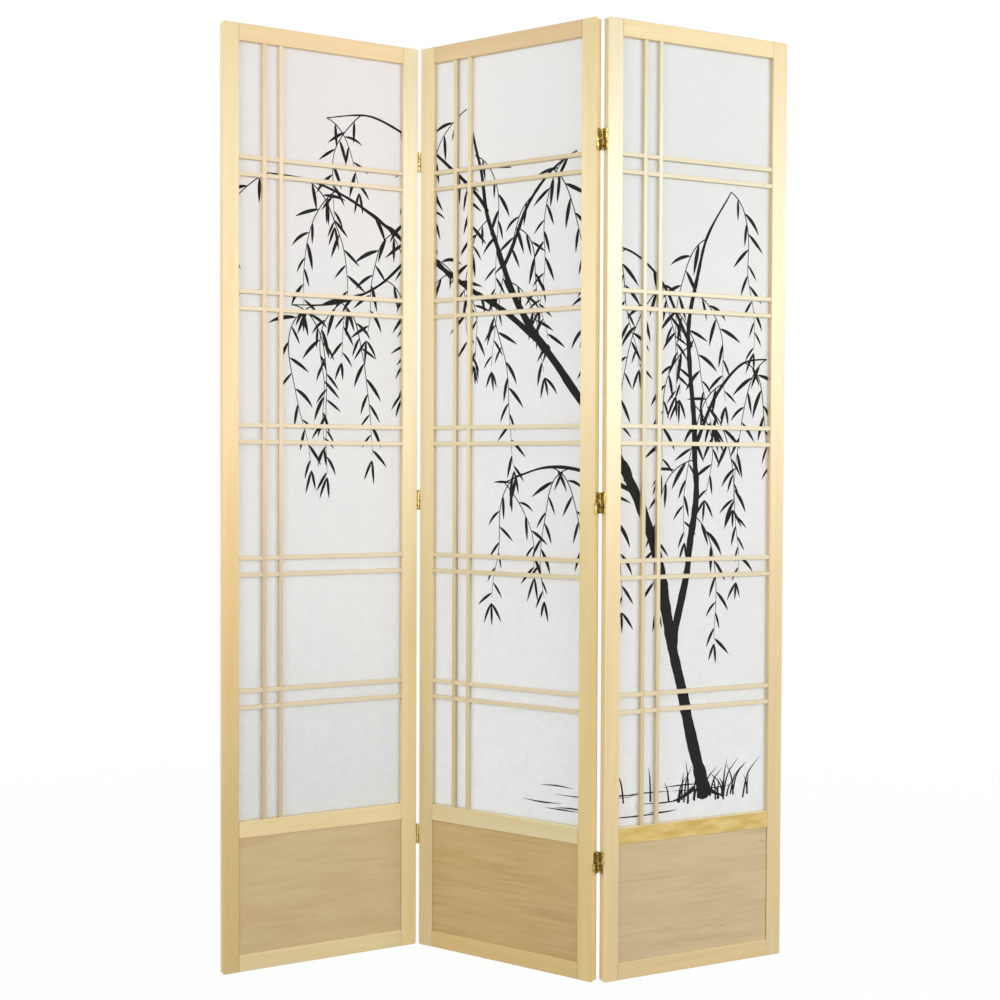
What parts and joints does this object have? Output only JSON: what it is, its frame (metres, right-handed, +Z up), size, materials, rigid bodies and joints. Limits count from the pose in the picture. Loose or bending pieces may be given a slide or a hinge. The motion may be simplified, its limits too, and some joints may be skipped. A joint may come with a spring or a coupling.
{
  "type": "folding room divider screen",
  "caption": "Tall folding room screen of hinged wooden panels, each with a lath lattice over paper above a plywood kick board, standing in a zigzag.",
  "frame": {"origin": "on the floor, under the middle of the screen's footprint as it stands at rest", "axes": "+Z up, +X from the left panel to the right panel as seen from the front, +Y from the front to the back"},
  "size_m": [1.2842, 0.2652, 2.134],
  "materials": {
    "spruce": "pale spruce, planed and clear satin lacquered",
    "plywood": "thin plywood, grain across, clear matt lacquered",
    "paper": "off-white fibre paper with a black ink wash drawing",
    "brass": "polished brass, lightly lacquered"
  },
  "bodies": {
    "centre_panel": {"centre_panel_left_stile": "spruce", "centre_panel_right_stile": "spruce", "centre_panel_top_rail": "spruce", "centre_panel_middle_rail": "spruce", "centre_panel_bottom_rail": "spruce", "centre_panel_kick_board": "plywood", "centre_panel_lattice": "spruce", "centre_panel_paper": "paper", "left_hinge_bottom_right_leaf": "brass", "left_hinge_bottom_lower_link": "brass", "left_hinge_centre_right_leaf": "brass", "left_hinge_centre_lower_link": "brass", "left_hinge_top_right_leaf": "brass", "left_hinge_top_lower_link": "brass", "right_hinge_bottom_left_leaf": "brass", "right_hinge_bottom_lower_link": "brass", "right_hinge_centre_left_leaf": "brass", "right_hinge_centre_lower_link": "brass", "right_hinge_top_left_leaf": "brass", "right_hinge_top_lower_link": "brass"},
    "left_panel": {"left_panel_left_stile": "spruce", "left_panel_right_stile": "spruce", "left_panel_top_rail": "spruce", "left_panel_middle_rail": "spruce", "left_panel_bottom_rail": "spruce", "left_panel_kick_board": "plywood", "left_panel_lattice": "spruce", "left_panel_paper": "paper", "left_hinge_bottom_left_leaf": "brass", "left_hinge_bottom_upper_link": "brass", "left_hinge_centre_left_leaf": "brass", "left_hinge_centre_upper_link": "brass", "left_hinge_top_left_leaf": "brass", "left_hinge_top_upper_link": "brass"},
    "right_panel": {"right_panel_left_stile": "spruce", "right_panel_right_stile": "spruce", "right_panel_top_rail": "spruce", "right_panel_middle_rail": "spruce", "right_panel_bottom_rail": "spruce", "right_panel_kick_board": "plywood", "right_panel_lattice": "spruce", "right_panel_paper": "paper", "right_hinge_bottom_right_leaf": "brass", "right_hinge_bottom_upper_link": "brass", "right_hinge_centre_right_leaf": "brass", "right_hinge_centre_upper_link": "brass", "right_hinge_top_right_leaf": "brass", "right_hinge_top_upper_link": "brass"}
  },
  "joints": [
    {"name": "left_fold", "type": "hinge", "parent": "centre_panel", "child": "left_panel", "pos_m": [-0.21839, 0.1115, 0], "axis": [0, 0, 1], "range_deg": [-60, 120]},
    {"name": "right_fold", "type": "hinge", "parent": "centre_panel", "child": "right_panel", "pos_m": [0.2091, -0.11106, 0], "axis": [0, 0, 1], "range_deg": [-57.5, 122.5]}
  ]
}
